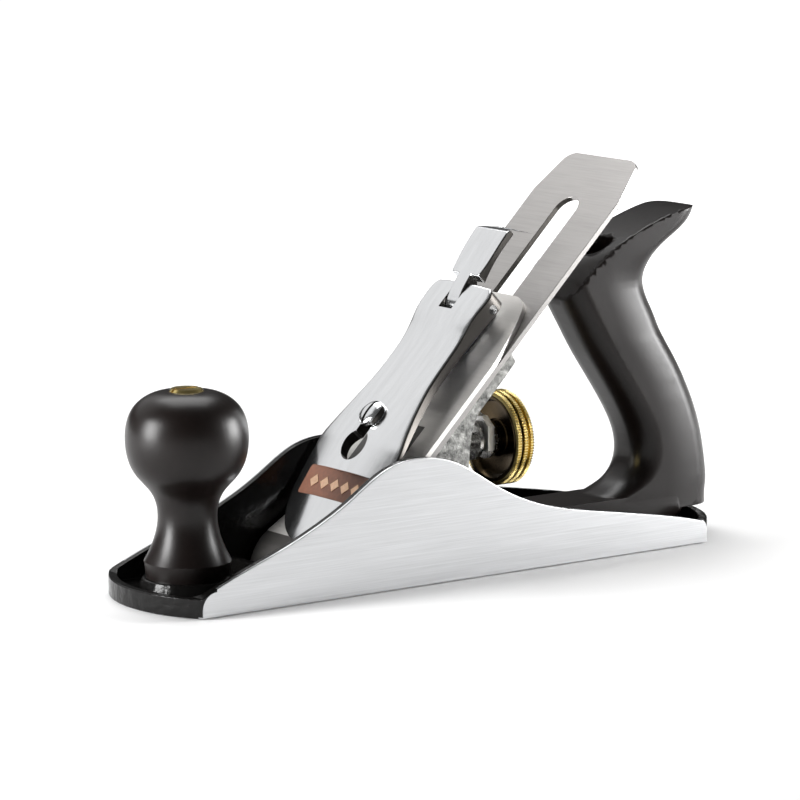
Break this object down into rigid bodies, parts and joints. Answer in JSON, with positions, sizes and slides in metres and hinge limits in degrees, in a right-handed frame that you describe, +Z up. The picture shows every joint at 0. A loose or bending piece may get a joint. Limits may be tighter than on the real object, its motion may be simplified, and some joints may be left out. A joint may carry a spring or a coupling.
{
  "type": "hand plane",
  "caption": "Metal smoothing plane: ground cast body, black handles, slanted iron under a cam-locked lever cap, brass depth wheel, side-tilt lever and sliding frog.",
  "frame": {"origin": "middle of the sole's ground face, on the tool's centre line", "axes": "+X from toe to heel along the sole, +Y across towards the right cheek, +Z up"},
  "size_m": [0.2597, 0.061, 0.1453],
  "materials": {
    "casting": "gloss black enamel on cast iron, cheeks and sole ground bright",
    "handle_plastic": "polished moulded plastic",
    "plated_steel": "zinc plated",
    "yoke_steel": "nickel plated",
    "brass": "turned and knurled",
    "frog_casting": "mottled grey",
    "screw_chrome": "polished",
    "chrome": "polished",
    "enamel": "orange-red enamel",
    "spring_steel": "blued",
    "iron_steel": "satin ground"
  },
  "bodies": {
    "plane_body": {"body_casting": "casting", "knob": "handle_plastic", "knob_bolt": "plated_steel", "knob_nut": "brass", "tote": "handle_plastic", "tote_rod": "plated_steel", "tote_nut": "brass", "frog_screws": "plated_steel", "frog_washers": "plated_steel"},
    "frog_unit": {"frog": "frog_casting", "frog_clip": "plated_steel", "frog_clip_screw": "plated_steel", "yoke_pin": "plated_steel", "depth_stud": "plated_steel", "lateral_rivet": "plated_steel", "lever_cap_screw": "screw_chrome"},
    "adjusting_screw": {"frog_adjusting_screw": "plated_steel"},
    "feed_screw": {"cap_iron_screw": "plated_steel"},
    "cutter": {"iron": "iron_steel", "cap_iron": "iron_steel"},
    "yoke_lever": {"yoke": "yoke_steel"},
    "collar": {"depth_collar": "brass"},
    "wheel": {"depth_wheel": "brass"},
    "lateral": {"lateral_lever": "plated_steel", "roller_pin": "plated_steel"},
    "roller": {"lateral_roller": "plated_steel"},
    "cap": {"lever_cap": "chrome", "cap_panel": "enamel", "cap_spring": "spring_steel", "spring_rivet": "plated_steel", "cam_pin": "plated_steel"},
    "cam_lever": {"cam": "chrome"}
  },
  "joints": [
    {"name": "frog_slide", "type": "slide", "parent": "plane_body", "child": "frog_unit", "axis": [1, 0, 0], "range_m": [-0.0015, 0.0015]},
    {"name": "adjusting_screw_turn", "type": "hinge", "parent": "frog_unit", "child": "adjusting_screw", "pos_m": [0.006, 0, 0.0092], "axis": [1, 0, 0], "range_deg": [-620, 620]},
    {"name": "iron_feed", "type": "slide", "parent": "frog_unit", "child": "feed_screw", "axis": [0.7071, 0, 0.7071], "range_m": [-0.001, 0.002]},
    {"name": "iron_tilt", "type": "hinge", "parent": "feed_screw", "child": "cutter", "pos_m": [-0.0234, 0, 0.035], "axis": [-0.7071, 0, 0.7071], "range_deg": [-1, 1]},
    {"name": "yoke_swing", "type": "hinge", "parent": "frog_unit", "child": "yoke_lever", "pos_m": [0.017, 0, 0.058], "axis": [0, 1, 0], "range_deg": [-4.41, 8.71]},
    {"name": "collar_slide", "type": "slide", "parent": "frog_unit", "child": "collar", "axis": [1, 0, 0], "range_m": [-0.00213, 0.00107]},
    {"name": "wheel_turn", "type": "hinge", "parent": "collar", "child": "wheel", "pos_m": [0.0335, 0, 0.044], "axis": [1, 0, 0], "range_deg": [-719, 361]},
    {"name": "lateral_swing", "type": "hinge", "parent": "frog_unit", "child": "lateral", "pos_m": [0.02299, 0, 0.07842], "axis": [-0.7071, 0, 0.7071], "range_deg": [-7.57, 7.57]},
    {"name": "roller_turn", "type": "hinge", "parent": "lateral", "child": "roller", "pos_m": [0.01761, 0, 0.07319], "axis": [-0.7071, 0, 0.7071], "continuous": true},
    {"name": "lever_cap_slide", "type": "slide", "parent": "frog_unit", "child": "cap", "axis": [0.7071, 0, 0.7071], "range_m": [0, 0.0129]},
    {"name": "cam_lift", "type": "hinge", "parent": "cap", "child": "cam_lever", "pos_m": [0.02108, 0, 0.09532], "axis": [0, -1, 0], "range_deg": [0, 75]}
  ],
  "couplings": [
    {"joint": "adjusting_screw_turn", "follows": "frog_slide", "rad_per_m": 6981.3},
    {"joint": "yoke_swing", "follows": "iron_feed", "rad_per_m": 75.167},
    {"joint": "collar_slide", "follows": "iron_feed", "ratio": -1.0523},
    {"joint": "wheel_turn", "follows": "iron_feed", "rad_per_m": -6237.8},
    {"joint": "lateral_swing", "follows": "iron_tilt", "ratio": -7.4667}
  ]
}
